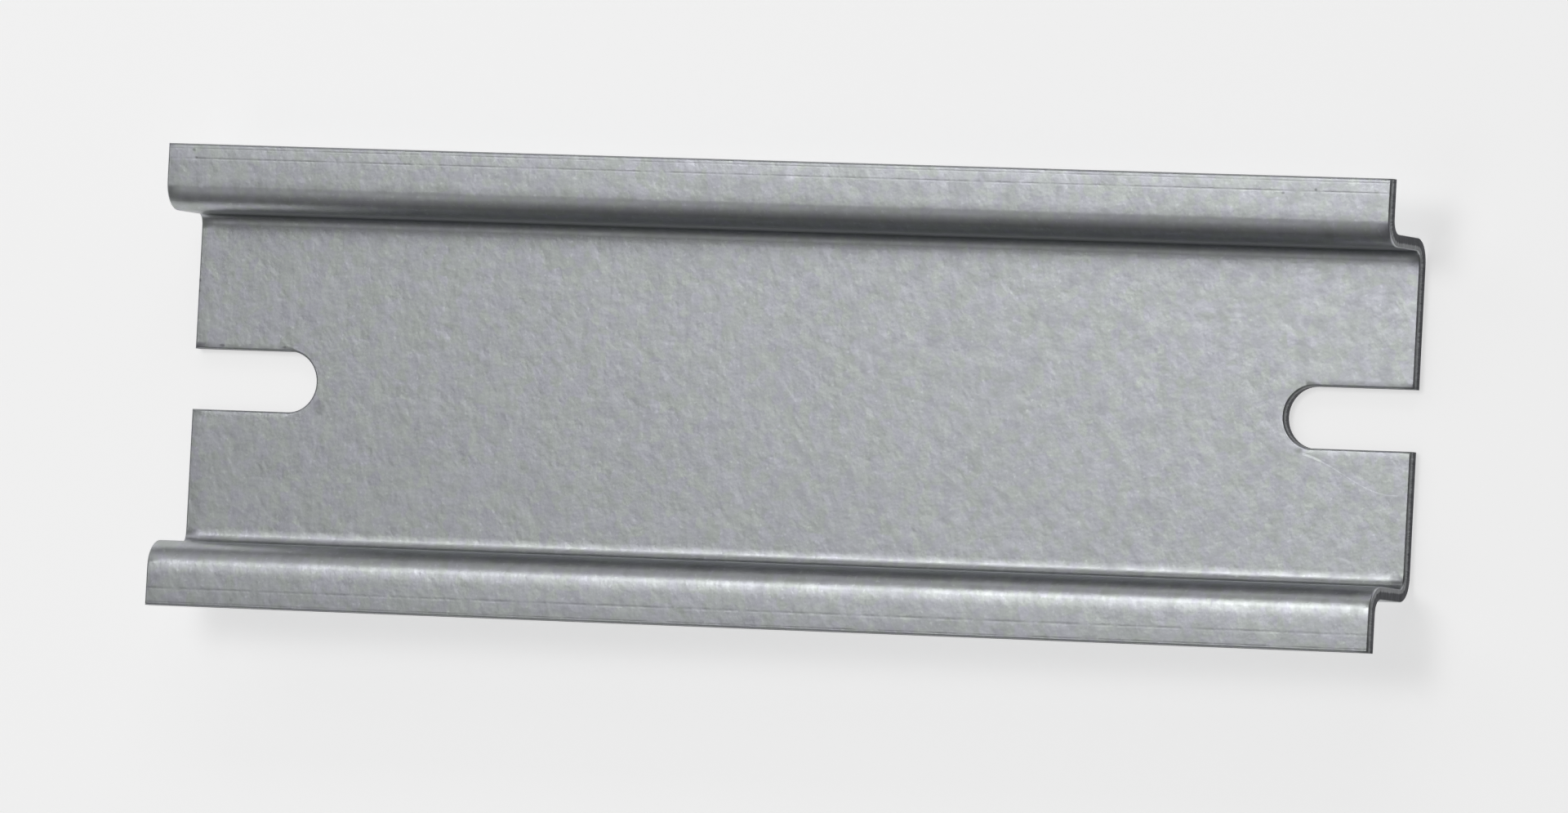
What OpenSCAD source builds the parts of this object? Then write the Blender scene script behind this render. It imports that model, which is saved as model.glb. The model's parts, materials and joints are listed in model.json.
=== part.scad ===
// Top-hat mounting rail, cut short, with an open screw slot in each end of its web.
// It is one strip of zinc-coated steel with four bends along its length: two foot bends
// between the web and its walls, and two shoulder bends between the walls and the flanges.
// The rail lies on the back of its web: X runs along it, Y across it, and the channel
// opens towards +Z. The origin is the middle of the web's back face.

/* [Rail] */
// Length of the rail between its cut ends
rail_length = 100; // [60:1:400]
// Overall width across the two flanges
rail_width = 35; // [34:0.5:38]
// Height from the back of the web to the face of the flanges
rail_height = 7.5; // [7:0.5:15]
// Width of the channel between the inner faces of its walls
channel_width = 25; // [22:0.5:26]
// Thickness of the steel strip
strip_thickness = 1; // [0.6:0.1:1.5]
// Radius on the inside of each foot bend
foot_radius = 1.2; // [0.6:0.1:1.5]
// Radius on the inside of each shoulder bend, under the flange
shoulder_radius = 1.5; // [0.6:0.1:2]

/* [Screw slots] */
// Width of each open slot
slot_width = 4.6; // [3:0.1:8]
// Distance from a cut end to the centre of the slot's round bottom
slot_centre = 8; // [5:0.5:20]

/* [Hidden] */
$fn = 96;

// The outside of a bend is concentric with its inside
foot_outer = foot_radius + strip_thickness;
shoulder_outer = shoulder_radius + strip_thickness;
// Centre of a foot bend, which is inside the channel
foot_y = channel_width / 2 - foot_radius;
foot_z = foot_outer;
// Centre of a shoulder bend, which is under the flange
shoulder_y = channel_width / 2 + shoulder_outer;
shoulder_z = rail_height - shoulder_outer;
// How far a cutter runs past the faces that it opens
cut_past = 2;

// Cross-section of a quarter bend about its centre, turned to the quadrant it fills
module bend_section(inner, turn) {
    outer = inner + strip_thickness;
    rotate(turn)
        difference() {
            intersection() {
                circle(r = outer);
                square(outer);
            }
            circle(r = inner);
        }
}

// Cross-section of one side of the rail, from the foot bend to the flange's edge
module side_section() {
    translate([foot_y, foot_z])
        bend_section(foot_radius, -90);
    translate([channel_width / 2, foot_z])
        square([strip_thickness, shoulder_z - foot_z]);
    translate([shoulder_y, shoulder_z])
        bend_section(shoulder_radius, 90);
    translate([shoulder_y, rail_height - strip_thickness])
        square([rail_width / 2 - shoulder_y, strip_thickness]);
}

// Cross-section of the whole strip as bent: the flat web and its two sides
module rail_section() {
    translate([-foot_y, 0])
        square([2 * foot_y, strip_thickness]);
    for (side = [0, 1])
        mirror([side, 0])
            side_section();
}

// Cutter for the slot at the +X end: a round bottom with straight sides out past the end
module slot_cutter() {
    translate([rail_length / 2 - slot_centre, 0, -cut_past])
        linear_extrude(strip_thickness + 2 * cut_past) {
            circle(d = slot_width);
            translate([0, -slot_width / 2])
                square([slot_centre + cut_past, slot_width]);
        }
}

module rail() {
    color([0.69, 0.70, 0.70])
        difference() {
            rotate([90, 0, 90])
                linear_extrude(rail_length, center = true)
                    rail_section();
            for (end = [0, 1])
                mirror([end, 0, 0])
                    slot_cutter();
        }
}

rail();
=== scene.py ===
# A short top-hat rail of galvanised steel, lying on its back on a pale studio floor.
import bisect
import json
import math

import bmesh
import bpy
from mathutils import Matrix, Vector


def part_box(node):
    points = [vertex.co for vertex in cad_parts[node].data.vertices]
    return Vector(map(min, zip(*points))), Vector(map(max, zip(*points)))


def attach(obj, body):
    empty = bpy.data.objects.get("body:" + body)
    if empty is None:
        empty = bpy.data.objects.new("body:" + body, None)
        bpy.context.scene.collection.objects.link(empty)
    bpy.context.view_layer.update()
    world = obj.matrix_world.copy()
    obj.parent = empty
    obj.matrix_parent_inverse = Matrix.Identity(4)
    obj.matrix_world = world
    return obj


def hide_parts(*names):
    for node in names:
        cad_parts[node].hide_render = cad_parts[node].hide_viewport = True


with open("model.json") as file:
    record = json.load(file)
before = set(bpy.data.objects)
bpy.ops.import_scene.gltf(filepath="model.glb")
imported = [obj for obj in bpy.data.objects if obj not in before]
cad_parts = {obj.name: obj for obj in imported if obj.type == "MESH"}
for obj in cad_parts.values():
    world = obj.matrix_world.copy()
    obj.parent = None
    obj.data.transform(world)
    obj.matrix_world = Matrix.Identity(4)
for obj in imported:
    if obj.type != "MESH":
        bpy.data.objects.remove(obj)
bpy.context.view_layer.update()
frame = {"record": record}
mm = 0.001


def linearColour(hexCode):
    # sRGB hex to the linear values that the shaders take
    parts = [int(hexCode[i:i + 2], 16) / 255 for i in (1, 3, 5)]
    return (*[c / 12.92 if c <= 0.04045 else ((c + 0.055) / 1.055) ** 2.4 for c in parts], 1.0)


# the rail's own sizes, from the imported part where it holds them
mounts = {m["name"]: m for m in frame["record"]["mounts"]}
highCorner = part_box("rail")[1]
rail = {
    "halfLength": highCorner.x,
    "halfWidth": highCorner.y,
    "height": highCorner.z,
    "thickness": mounts["slot_right"]["dims"]["length_mm"] * mm,
    "slotRadius": mounts["slot_right"]["dims"]["r_mm"] * mm,
    "slotCentre": mounts["slot_right"]["pos_m"][0],
    "channelHalf": 12.5 * mm,  # middle of the web to a wall's inner face
    "footRadius": 0.7 * mm,  # tightest inside radius of the bend from web to wall
    "footEase": 1.0 * mm,  # length over which that bend leaves the flat web
    "shoulderRadius": 2.0 * mm,  # tightest outside radius of the bend from wall to flange
    "shoulderEase": 1.0 * mm,
    "rollover": 0.17 * mm,  # rounding of a sheared edge on the channel side
    "backBreak": 0.05 * mm,  # rounding of the same edge on the back
    "bendSteps": 15,  # facets round each bend
    "lengthStep": 1.25 * mm,  # spacing of the mesh along the rail
    "slotSteps": 28,  # facets round each slot's bottom
}


def easedBend(radius, ease, count=120):
    # a quarter turn that leaves its flat side gently: (length, along the flat, away from it, angle)
    total = radius * math.pi / 2 + ease / 2
    step = total / count
    path = [(0.0, 0.0, 0.0, 0.0)]
    for i in range(1, count + 1):
        at = i * step
        angle = at * at / (2 * ease * radius) if at < ease else (at - ease / 2) / radius
        last = path[-1]
        middle = (angle + last[3]) / 2
        path.append((at, last[1] + step * math.cos(middle), last[2] + step * math.sin(middle), angle))
    return path


class Section:
    # the strip's channel-side face as one path from the middle of the web to a flange's edge
    def __init__(self, shape):
        foot = easedBend(shape["footRadius"], shape["footEase"])
        shoulder = easedBend(shape["shoulderRadius"], shape["shoulderEase"])
        self.thickness = shape["thickness"]
        self.footStart = shape["channelHalf"] - foot[-1][1]
        self.footEnd = self.footStart + foot[-1][0]
        wall = shape["height"] - shape["thickness"] - foot[-1][2] - shoulder[-1][2]
        self.shoulderStart = self.footEnd + wall
        self.shoulderEnd = self.shoulderStart + shoulder[-1][0]
        flangeStart = shape["channelHalf"] + shoulder[-1][1]
        self.length = self.shoulderEnd + shape["halfWidth"] - flangeStart
        self.path = [(0.0, 0.0, self.thickness, 0.0)]
        for at, along, away, angle in foot:
            self.path.append((self.footStart + at, self.footStart + along, self.thickness + away, angle))
        for at, along, away, angle in reversed(shoulder):
            self.path.append((self.shoulderEnd - at, flangeStart - along, shape["height"] - away, angle))
        self.path.append((self.length, shape["halfWidth"], shape["height"], 0.0))

    def stations(self, steps):
        # where the flat strip needs a mesh line: even turns round each bend, a few lines on the flats
        lines = [self.footStart * share for share in (0.25, 0.5, 0.75)]
        for first, last in ((self.footStart, self.footEnd), (self.shoulderStart, self.shoulderEnd)):
            bend = [p for p in self.path if first - 1e-9 <= p[0] <= last + 1e-9]
            for i in range(steps + 1):
                wanted = math.pi / 2 * i / steps
                lines.append(min(bend, key=lambda p: abs(p[3] - wanted))[0])
        lines.append((self.footEnd + self.shoulderStart) / 2)
        lines.append((self.shoulderEnd + self.length) / 2)
        return sorted(set(lines), reverse=True)

    def place(self, across, depth):
        # (y, z) of a point at that distance from the middle, depth below the channel-side face
        s = min(abs(across), self.length)
        i = min(max(bisect.bisect_right(self.path, (s,)), 1), len(self.path) - 1)
        a, b = self.path[i - 1], self.path[i]
        share = (s - a[0]) / (b[0] - a[0]) if b[0] > a[0] else 0.0
        y, z, angle = (a[k] + (b[k] - a[k]) * share for k in (1, 2, 3))
        y, z = y + depth * math.sin(angle), z - depth * math.cos(angle)
        return (y if across >= 0 else -y), z


def blankOutline(shape, halfAcross):
    # the flat blank: a rectangle with a round-bottomed slot open at each end
    halfLength, centre, radius = shape["halfLength"], shape["slotCentre"], shape["slotRadius"]
    bottom = [math.pi / 2 + math.pi * i / shape["slotSteps"] for i in range(shape["slotSteps"] + 1)]
    slot = [(halfLength, radius)]
    slot += [(centre + radius * math.cos(a), radius * math.sin(a)) for a in bottom]
    slot += [(halfLength, -radius)]
    right = [(halfLength, halfAcross)] + slot + [(halfLength, -halfAcross)]
    left = [(-x, -s) for x, s in right]
    return right + left


def cutLines(mesh, normal, places):
    for place in places:
        geometry = mesh.verts[:] + mesh.edges[:] + mesh.faces[:]
        onPlane = Vector(normal) * place
        bmesh.ops.bisect_plane(mesh, geom=geometry, dist=1e-7, plane_co=onPlane, plane_no=normal)


def buildStrip(shape):
    section = Section(shape)
    thickness = shape["thickness"]
    mesh = bmesh.new()
    outline = blankOutline(shape, section.length)
    face = mesh.faces.new([mesh.verts.new((x, s, 0)) for x, s in outline])
    face.normal_update()
    if face.normal.z < 0:
        face.normal_flip()
    grown = bmesh.ops.extrude_face_region(mesh, geom=[face])
    lower = [v for v in grown["geom"] if isinstance(v, bmesh.types.BMVert)]
    bmesh.ops.translate(mesh, verts=lower, vec=(0, 0, -thickness))
    bmesh.ops.recalc_face_normals(mesh, faces=mesh.faces)
    # sheared edges: rolled over on the channel side, all but sharp on the back
    for depth, width, segments in ((0, shape["rollover"], 3), (-thickness, shape["backBreak"], 1)):
        rim = [e for e in mesh.edges if all(abs(v.co.z - depth) < 1e-7 for v in e.verts)]
        bmesh.ops.bevel(mesh, geom=rim, offset=width, segments=segments, profile=0.5, affect="EDGES")
    across = section.stations(shape["bendSteps"])
    cutLines(mesh, (0, 1, 0), [side * a for a in across for side in (-1, 1)])
    count = int(shape["halfLength"] / shape["lengthStep"])
    cutLines(mesh, (1, 0, 0), [i * shape["lengthStep"] for i in range(-count + 1, count)])
    flatPlace = mesh.verts.layers.float_vector.new("flatPlace")
    for v in mesh.verts:
        v[flatPlace] = v.co
    for f in mesh.faces:
        f.smooth = True
        f.normal_update()
        f.material_index = 1 if abs(f.normal.z) < 0.5 else 0
    for v in mesh.verts:
        y, z = section.place(v.co.y, -v.co.z)
        v.co = (v.co.x, y, z)
    data = bpy.data.meshes.new("steelStrip")
    mesh.to_mesh(data)
    mesh.free()
    strip = bpy.data.objects.new("steelStrip", data)
    bpy.context.scene.collection.objects.link(strip)
    normals = strip.modifiers.new("flat faces stay flat", "WEIGHTED_NORMAL")
    normals.weight = 100
    normals.keep_sharp = False
    print("strip:", len(data.vertices), "points,", len(data.polygons), "faces")
    return strip


def addNode(tree, kind, settings=None, links=None):
    # a shader node with its settings, fed by sockets or by other nodes' first outputs
    node = tree.nodes.new("ShaderNode" + kind)
    for key, value in (settings or {}).items():
        if isinstance(key, int) or key in node.inputs:
            node.inputs[key].default_value = value
        else:
            setattr(node, key, value)
    for key, source in (links or {}).items():
        tree.links.new(source.outputs[0] if isinstance(source, bpy.types.Node) else source, node.inputs[key])
    return node


def newMaterial(name):
    material = bpy.data.materials.new(name)
    material.use_nodes = True
    material.node_tree.nodes.clear()
    return material, material.node_tree


def stripPlace(tree):
    # where a point lies in the flat strip, in mm: along, across, up through the thickness
    stored = addNode(tree, "Attribute", {"attribute_name": "flatPlace"})
    place = addNode(tree, "VectorMath", {"operation": "SCALE", "Scale": 1000.0}, {
        0: stored.outputs["Vector"]})
    axes = addNode(tree, "SeparateXYZ", links={0: place})
    return place, axes.outputs["X"], axes.outputs["Y"], axes.outputs["Z"]


zinc = {
    "coolGrey": "#bbbcc4",  # grains that lean to blue
    "greenGrey": "#babfbc",  # grains that lean to green
    # painted highlight and painted shade across the section, brighter at the foot and crest, darker on the
    # walls: (feature, mm from it, tone)
    "paintedLightTones": [("footStart", -0.1, 1.0), ("footStart", 0.6, 1.12), ("footEnd", -0.2, 0.78),
              ("shoulderStart", 0.3, 0.78), ("shoulderStart", 1.6, 1.06), ("shoulderEnd", -0.9, 1.22),
              ("shoulderEnd", 0.4, 1.0)],
    # mottle: (mm across a grain, stretch across, detail, contrast)
    "mottle": [(8.0, 1.0, 2.0, 0.08), (1.35, 1.15, 3.0, 0.22), (0.5, 1.3, 1.0, 0.12)],
    "cellSize": 0.8,  # mm across a cell of the frozen zinc
    "cellContrast": 0.08,
    "fleck": {"size": 0.36, "from": 0.60, "full": 0.78, "brightness": 0.16},  # size in mm
    "relief": 0.012,  # mm between high and low places
    "roughness": (0.34, 0.44),
    # spots from handling in the flat strip, and one patch of painted shade, mm: (along, across, half length,
    # half width, darkness)
    "marksAndPaintedShade": [(-47.8, 22.3, 0.2, 0.16, 0.45), (-47.6, 21.75, 0.16, 0.12, 0.35), (41.4, 21.5, 0.16, 0.13, 0.4),
              (44.0, 21.8, 0.14, 0.14, 0.4), (-47.1, 19.6, 0.25, 0.22, -0.25), (-49.9, 7.5, 0.2, 0.16, 0.5),
              (-49.9, 6.7, 0.16, 0.2, 0.4), (-47.7, 2.6, 0.3, 0.14, 0.4), (-42.5, 2.6, 0.24, 0.14, 0.4),
              # (49.4, -11.9) is painted shade that dims the foot's bright line by the right end
              (-39.3, -1.8, 0.6, 0.8, 0.22), (41.2, -2.5, 0.9, 0.25, 0.25), (49.4, -11.9, 0.9, 0.6, 0.4),
              (1.6, 21.7, 0.7, 0.9, -0.12), (3.0, 21.9, 0.5, 0.7, -0.1), (36.6, -12.0, 0.22, 0.12, -0.3)],
    "markRaggedness": 0.9,  # how far the fleck noise eats into a mark's edge
}

# lines that the forming rolls left beside the flanges' edges
rollLines = {
    # (side, mm in from the flange's edge, half width, depth of tone)
    "lines": [(1, 0.36, 0.10, 0.13), (1, 1.12, 0.12, 0.15), (-1, 0.22, 0.12, 0.16), (-1, 1.3, 0.16, 0.13)],
    "faintest": 0.15,  # share of its depth that a line keeps where it fades
    "groove": 0.03,  # mm deep for a tone of 1
}

# one scratch beside a slot, all in mm but the brightness
scratch = {
    "along": (40.6, 48.6),
    "across": (-2.7, -5.6),
    "headEnd": 43.0,  # where its wide bright head thins to a hair
    "halfWidth": (0.11, 0.05),  # of head and tail
    "brightness": (0.5, 0.2),
}


def paintedLightAcross(tree, across, section):
    # half the tone of the flats, foot, wall, crest and flange, so that a ramp can hold it; the brighter foot
    # and crest are painted highlight, the darker walls painted shade
    full = section.length / mm
    fromMiddle = addNode(tree, "Math", {"operation": "ABSOLUTE"}, {0: across})
    share = addNode(tree, "Math", {"operation": "DIVIDE", 1: full}, {0: fromMiddle})
    ramp = addNode(tree, "ValToRGB", links={0: share})
    ramp.color_ramp.interpolation = "EASE"
    for _ in zinc["paintedLightTones"][2:]:
        ramp.color_ramp.elements.new(0.5)
    for element, (feature, offset, tone) in zip(ramp.color_ramp.elements, zinc["paintedLightTones"]):
        element.position = (getattr(section, feature) / mm + offset) / full
        element.color = (tone / 2, tone / 2, tone / 2, 1)
    return ramp


def zincMottle(tree, place, flecks, cellTone):
    # tone of the grains, cells and flecks, each layer round its own middle, and the layers' noises
    noises = []
    contrasts = [layer[3] for layer in zinc["mottle"]] + [zinc["cellContrast"]]
    plain = 1 - sum(contrasts) / 2
    fleck = zinc["fleck"]
    tone = addNode(tree, "MapRange", {
        "interpolation_type": "SMOOTHSTEP", "From Min": fleck["from"], "From Max": fleck["full"],
        "To Min": plain, "To Max": plain + fleck["brightness"]}, {0: flecks})
    tone = addNode(tree, "Math", {"operation": "MULTIPLY_ADD", 1: zinc["cellContrast"]}, {
        0: cellTone, 2: tone})
    for size, stretch, detail, contrast in zinc["mottle"]:
        squeezed = addNode(tree, "VectorMath", {"operation": "MULTIPLY", 1: (1, 1 / stretch, 1)}, {0: place})
        noise = addNode(tree, "TexNoise", {"Scale": 1 / size, "Detail": detail, "Roughness": 0.62}, {
            "Vector": squeezed})
        tone = addNode(tree, "Math", {"operation": "MULTIPLY_ADD", 1: contrast}, {0: noise, 2: tone})
        noises.append(noise)
    return tone, noises


def drawRollLines(tree, place, across, full):
    # the rolls' lines run the whole length and fade here and there
    drawn = []
    for i, (side, inward, halfWidth, depth) in enumerate(rollLines["lines"]):
        off = addNode(tree, "Math", {"operation": "SUBTRACT", 1: side * (full - inward)}, {0: across})
        off = addNode(tree, "Math", {"operation": "ABSOLUTE"}, {0: off})
        near = addNode(tree, "MapRange", {
            "interpolation_type": "SMOOTHSTEP", "From Max": halfWidth, "To Min": 1, "To Max": 0}, {0: off})
        squeeze = (0.2 + 0.07 * i, 0.05, 0.05)
        squeezed = addNode(tree, "VectorMath", {"operation": "MULTIPLY", 1: squeeze}, {0: place})
        fading = addNode(tree, "TexNoise", {"Scale": 1.0, "Detail": 3.0, "Roughness": 0.7}, {
            "Vector": squeezed})
        strength = addNode(tree, "MapRange", {
            "From Min": 0.36, "From Max": 0.56, "To Min": rollLines["faintest"] * depth, "To Max": depth}, {
            0: fading})
        drawn.append(addNode(tree, "Math", {"operation": "MULTIPLY"}, {0: near, 1: strength}))
    return drawn


def markKept(tree, place, flecks, mark):
    # the share of the tone that one soft, ragged spot leaves: a handling mark, or the patch of painted shade
    along, across, halfLength, halfWidth, darkness = mark
    centred = addNode(tree, "VectorMath", {
        "operation": "MULTIPLY_ADD", 1: (1 / halfLength, 1 / halfWidth, 0),
        2: (-along / halfLength, -across / halfWidth, 0)}, {0: place})
    away = addNode(tree, "VectorMath", {"operation": "LENGTH"}, {0: centred}).outputs["Value"]
    ragged = addNode(tree, "Math", {"operation": "MULTIPLY_ADD", 1: zinc["markRaggedness"]}, {
        0: flecks, 2: away})
    return addNode(tree, "MapRange", {
        "interpolation_type": "SMOOTHSTEP", "From Min": 0.7, "From Max": 1.6, "To Min": 1 - darkness}, {
        0: ragged})


def drawScratch(tree, along, across):
    # the scratch's shape, and its brightness there
    start, stop = scratch["along"]
    top, bottom = scratch["across"]
    smooth = {"interpolation_type": "SMOOTHSTEP"}
    course = addNode(tree, "MapRange", {
        **smooth, "From Min": start, "From Max": stop, "To Min": top, "To Max": bottom}, {0: along})
    off = addNode(tree, "Math", {"operation": "SUBTRACT"}, {0: across, 1: course})
    off = addNode(tree, "Math", {"operation": "ABSOLUTE"}, {0: off})
    headToTail = {**smooth, "From Min": scratch["headEnd"] - 0.4, "From Max": scratch["headEnd"] + 0.4}
    halfWidth, brightness = (
        addNode(tree, "MapRange", {**headToTail, "To Min": head, "To Max": tail}, {0: along})
        for head, tail in (scratch["halfWidth"], scratch["brightness"]))
    widths = addNode(tree, "Math", {"operation": "DIVIDE"}, {0: off, 1: halfWidth})
    inside = addNode(tree, "MapRange", {
        **smooth, "From Min": 0.5, "From Max": 1.1, "To Min": 1, "To Max": 0}, {0: widths})
    for outer, inner in ((start + 0.6, start + 1.0), (stop + 0.9, stop)):
        end = addNode(tree, "MapRange", {**smooth, "From Min": outer, "From Max": inner}, {0: along})
        inside = addNode(tree, "Math", {"operation": "MULTIPLY"}, {0: inside, 1: end})
    return inside, brightness


def galvanisedSteel(section):
    # galvanised steel: hot-dipped zinc that froze in small grains, then went through the forming rolls.
    # The eye gets a soft cool-grey mottle with paler flecks, crests and feet brightened with painted
    # highlight, and channel walls darkened with painted shade.
    material, tree = newMaterial("galvanised steel")
    place, along, across, _ = stripPlace(tree)
    flecks = addNode(tree, "TexNoise", {"Scale": 1 / zinc["fleck"]["size"], "Detail": 1.0}, {"Vector": place})
    cells = addNode(tree, "TexVoronoi", {
        "feature": "SMOOTH_F1", "Scale": 1 / zinc["cellSize"], "Smoothness": 0.35}, {"Vector": place})
    cellTones = addNode(tree, "SeparateColor", links={0: cells.outputs["Color"]})
    mottle, noises = zincMottle(tree, place, flecks, cellTones)
    # painted highlight on the bends and painted shade on the walls, by distance across the strip
    ramp = paintedLightAcross(tree, across, section)
    mottleAndPaintedLight = addNode(tree, "Math", {"operation": "MULTIPLY"}, {0: mottle, 1: ramp})
    shade = addNode(tree, "Math", {"operation": "MULTIPLY", 1: 2.0}, {0: mottleAndPaintedLight})
    lines = drawRollLines(tree, place, across, section.length / mm)
    for line in lines:
        kept = addNode(tree, "Math", {"operation": "SUBTRACT", 0: 1.0}, {1: line})
        shade = addNode(tree, "Math", {"operation": "MULTIPLY"}, {0: shade, 1: kept})
    for mark in zinc["marksAndPaintedShade"]:
        kept = markKept(tree, place, flecks, mark)
        shade = addNode(tree, "Math", {"operation": "MULTIPLY"}, {0: shade, 1: kept})
    inside, brightness = drawScratch(tree, along, across)
    shade = addNode(tree, "Math", {"operation": "MULTIPLY_ADD"}, {0: inside, 1: brightness, 2: shade})

    tint = addNode(tree, "ValToRGB", links={0: cellTones.outputs[1]})
    for element, code in zip(tint.color_ramp.elements, (zinc["coolGrey"], zinc["greenGrey"])):
        element.color = linearColour(code)
    colour = addNode(tree, "VectorMath", {"operation": "SCALE"}, {0: tint, "Scale": shade})
    _, grains, fineGrains = noises
    smoothest, roughest = zinc["roughness"]
    rough = addNode(tree, "MapRange", {
        "From Min": 0.3, "From Max": 0.7, "To Min": smoothest, "To Max": roughest}, {0: grains})

    # heights in mm: large grains, small grains, the rolls' lines
    height = addNode(tree, "Math", {"operation": "MULTIPLY", 1: 2 * zinc["relief"]}, {0: grains})
    height = addNode(tree, "Math", {"operation": "MULTIPLY_ADD", 1: 0.6 * zinc["relief"]}, {
        0: fineGrains, 2: height})
    for line in lines:
        height = addNode(tree, "Math", {"operation": "MULTIPLY_ADD", 1: -rollLines["groove"]}, {
            0: line, 2: height})
    bump = addNode(tree, "Bump", {"Strength": 1.0, "Distance": mm}, {"Height": height})
    shader = addNode(tree, "BsdfPrincipled", {"Metallic": 1.0}, {
        "Base Color": colour, "Roughness": rough, "Normal": bump})
    addNode(tree, "OutputMaterial", links={"Surface": shader})
    return material


shearedEdge = {
    "burnished": "#77797b",  # the upper part, wiped smooth by the blade
    "broken": "#55565a",  # the lower part, torn and rough
    "burnishedDepth": 0.38,  # mm
    "waver": 0.3,  # mm that the line between them wanders
    "streaks": 0.35,  # contrast of the blade's drag marks
    "streakSpacing": 0.12,  # mm
    "streakHeight": 0.02,  # mm
    "roughness": (0.38, 0.62),  # burnished, broken
}


def shearedSteel():
    # bare sheared steel: the blade wipes the first third smooth and tears the rest.
    # The eye gets a dark grey edge with fine drag marks through its thickness.
    material, tree = newMaterial("sheared steel edge")
    place, _, _, up = stripPlace(tree)
    drawn = addNode(tree, "VectorMath", {"operation": "MULTIPLY", 1: (1, 1, 0.12)}, {0: place})
    streaks = addNode(tree, "TexNoise", {
        "Scale": 1 / shearedEdge["streakSpacing"], "Detail": 2.0, "Roughness": 0.6}, {"Vector": drawn})
    edge = addNode(tree, "Math", {"operation": "MULTIPLY_ADD", 1: shearedEdge["waver"]}, {0: streaks, 2: up})
    middle = shearedEdge["waver"] / 2 - shearedEdge["burnishedDepth"]
    torn = addNode(tree, "MapRange", {
        "interpolation_type": "SMOOTHSTEP", "From Min": middle + 0.06, "From Max": middle - 0.06}, {0: edge})
    bands = addNode(tree, "ValToRGB", links={0: torn})
    for element, code in zip(bands.color_ramp.elements, (shearedEdge["burnished"], shearedEdge["broken"])):
        element.color = linearColour(code)
    contrast = shearedEdge["streaks"]
    shade = addNode(tree, "MapRange", {
        "From Min": 0.25, "From Max": 0.75, "To Min": 1 - contrast, "To Max": 1 + contrast}, {0: streaks})
    colour = addNode(tree, "VectorMath", {"operation": "SCALE"}, {0: bands, "Scale": shade})
    smooth, rough = shearedEdge["roughness"]
    roughness = addNode(tree, "MapRange", {"To Min": smooth, "To Max": rough}, {0: torn})
    height = addNode(tree, "Math", {"operation": "MULTIPLY", 1: shearedEdge["streakHeight"]}, {0: streaks})
    bump = addNode(tree, "Bump", {"Strength": 1.0, "Distance": mm}, {"Height": height})
    shader = addNode(tree, "BsdfPrincipled", {"Metallic": 1.0}, {
        "Base Color": colour, "Roughness": roughness, "Normal": bump})
    addNode(tree, "OutputMaterial", links={"Surface": shader})
    return material


strip = buildStrip(rail)
strip.data.materials.append(galvanisedSteel(Section(rail)))
strip.data.materials.append(shearedSteel())
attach(strip, "root")
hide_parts("rail")
print("materials:", ", ".join(m.name for m in strip.data.materials))

studioFloor = {
    "half": 2.0,  # metres
    "paper": "#e7e7e7",
    "glow": 0.6,  # what the camera, mirror rays and glass add to the lit paper
}


def whitePaper():
    # matt white paper: shows the rail's soft shadow, and stays white in reflections
    material, tree = newMaterial("white paper")
    seen = addNode(tree, "LightPath")
    shown = addNode(tree, "Math", {"operation": "MAXIMUM"}, {
        0: seen.outputs["Is Camera Ray"], 1: seen.outputs["Is Glossy Ray"]})
    shown = addNode(tree, "Math", {"operation": "MAXIMUM"}, {
        0: shown, 1: seen.outputs["Is Transmission Ray"]})
    paper = addNode(tree, "BsdfDiffuse", {"Color": linearColour(studioFloor["paper"])})
    strength = addNode(tree, "Math", {"operation": "MULTIPLY", 1: studioFloor["glow"]}, {0: shown})
    glow = addNode(tree, "Emission", {"Color": (1, 1, 1, 1)}, {"Strength": strength})
    both = addNode(tree, "AddShader", links={0: paper, 1: glow})
    addNode(tree, "OutputMaterial", links={"Surface": both})
    return material


half = studioFloor["half"]
floorCorners = [(-half, -half, 0), (half, -half, 0), (half, half, 0), (-half, half, 0)]
floorMesh = bpy.data.meshes.new("studioFloor")
floorMesh.from_pydata(floorCorners, [], [(0, 1, 2, 3)])
floorMesh.materials.append(whitePaper())
floor = bpy.data.objects.new("studioFloor", floorMesh)
bpy.context.scene.collection.objects.link(floor)

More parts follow.
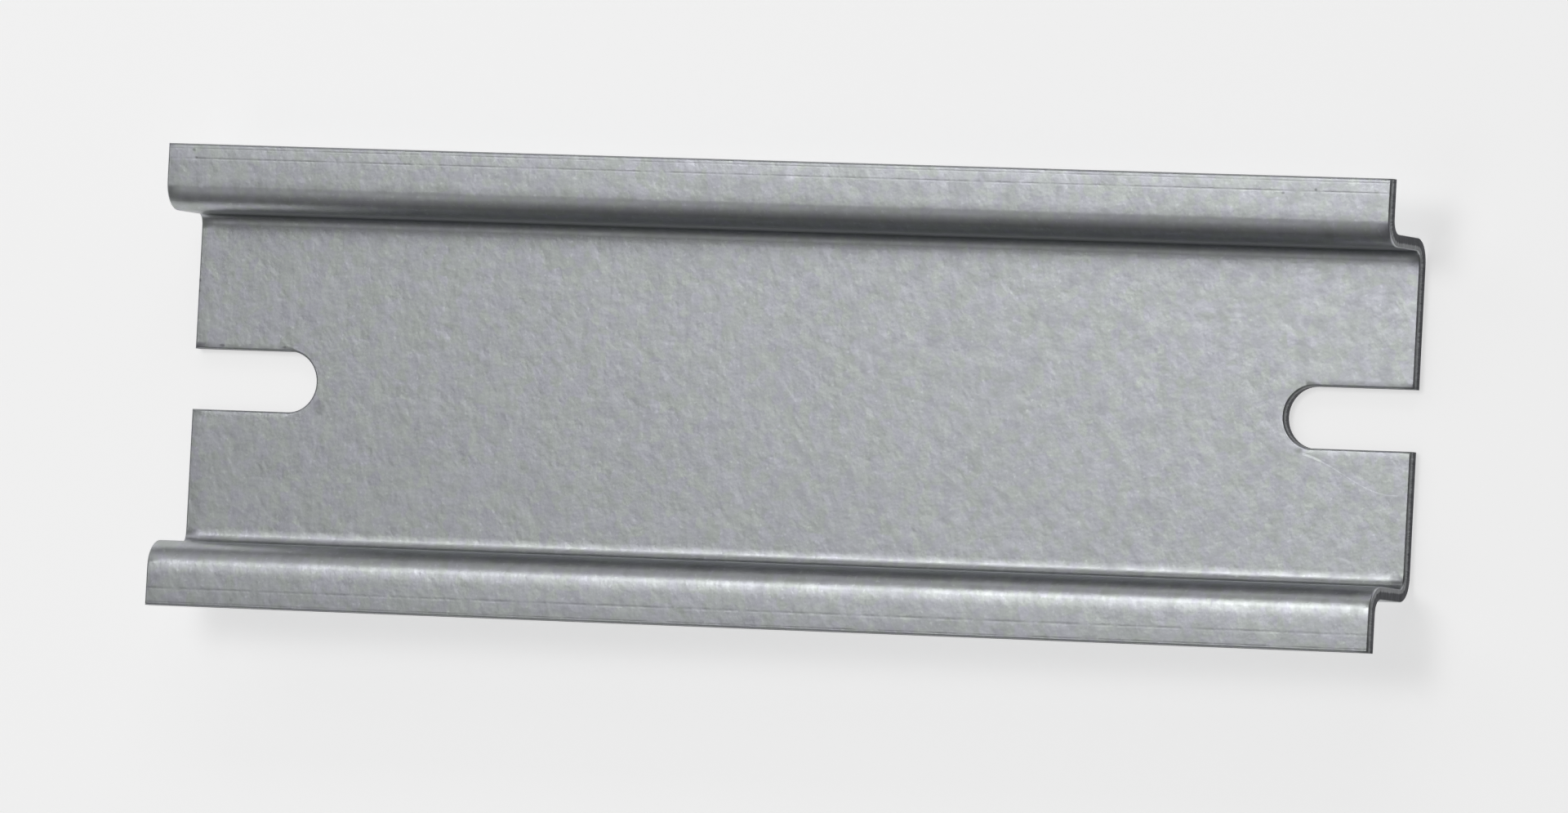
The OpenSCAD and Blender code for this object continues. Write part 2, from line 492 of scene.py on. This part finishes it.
studioLight = {
    "distance": 0.8,  # metres from the middle of the rail
    "world": 0.09,
    # (name, degrees off overhead along and across the rail, size in metres, radiance)
    "softboxes": [
        ("key softbox", (-15, 15), (0.29, 0.29), 4.3),
        ("fill softbox", (-25, -25), (0.3, 0.3), 0.55),
        ("far strip light", (-5, 60), (0.6, 0.15), 1.5),
        ("left strip light", (-50, 45), (0.3, 0.3), 0.77),
        ("near strip light", (-35, -50), (0.45, 0.4), 0.145),
    ],
}


def addSoftbox(name, lean, size, radiance):
    # a rectangular lamp that faces the rail
    lamp = bpy.data.lights.new(name, "AREA")
    lamp.shape = "RECTANGLE"
    lamp.size, lamp.size_y = size
    lamp.energy = radiance * math.pi * size[0] * size[1]
    box = bpy.data.objects.new(name, lamp)
    aim = Vector((math.tan(math.radians(lean[0])), math.tan(math.radians(lean[1])), 1.0)).normalized()
    box.location = aim * studioLight["distance"]
    box.rotation_euler = aim.to_track_quat("Z", "Y").to_euler()
    bpy.context.scene.collection.objects.link(box)


for softbox in studioLight["softboxes"]:
    addSoftbox(*softbox)
world = bpy.data.worlds.new("studio")
bpy.context.scene.world = world
world.use_nodes = True
background = world.node_tree.nodes["Background"]
background.inputs["Color"].default_value = (1, 1, 1, 1)
background.inputs["Strength"].default_value = studioLight["world"]
print("studio: floor,", len(studioLight["softboxes"]), "softboxes")

cameraView = {
    "tilt": math.radians(2.21),  # towards one flange
    "swing": math.radians(23.9),  # towards the right-hand end
    "roll": math.radians(2.97),
    "distance": 1.489,  # metres from the middle of the rail
    "offset": (-1.211 * mm, -0.483 * mm),  # sideways and up, in the camera's own frame
    "lens": 455.8,  # mm, for a sensor 36 mm wide
}
cameraData = bpy.data.cameras.new("camera")
camera = bpy.data.objects.new("camera", cameraData)
bpy.context.scene.collection.objects.link(camera)
bpy.context.scene.camera = camera
camera.rotation_mode = "ZXY"
camera.rotation_euler = (cameraView["tilt"], cameraView["swing"], cameraView["roll"])
turn = camera.rotation_euler.to_matrix()
camera.location = turn @ Vector((*cameraView["offset"], cameraView["distance"]))
cameraData.lens = cameraView["lens"]
cameraData.sensor_width = 36
cameraData.clip_start = 0.1
cameraData.clip_end = 10
print("camera: at", [round(c, 3) for c in camera.location], "m")

bpy.context.scene.view_settings.view_transform = "Standard"
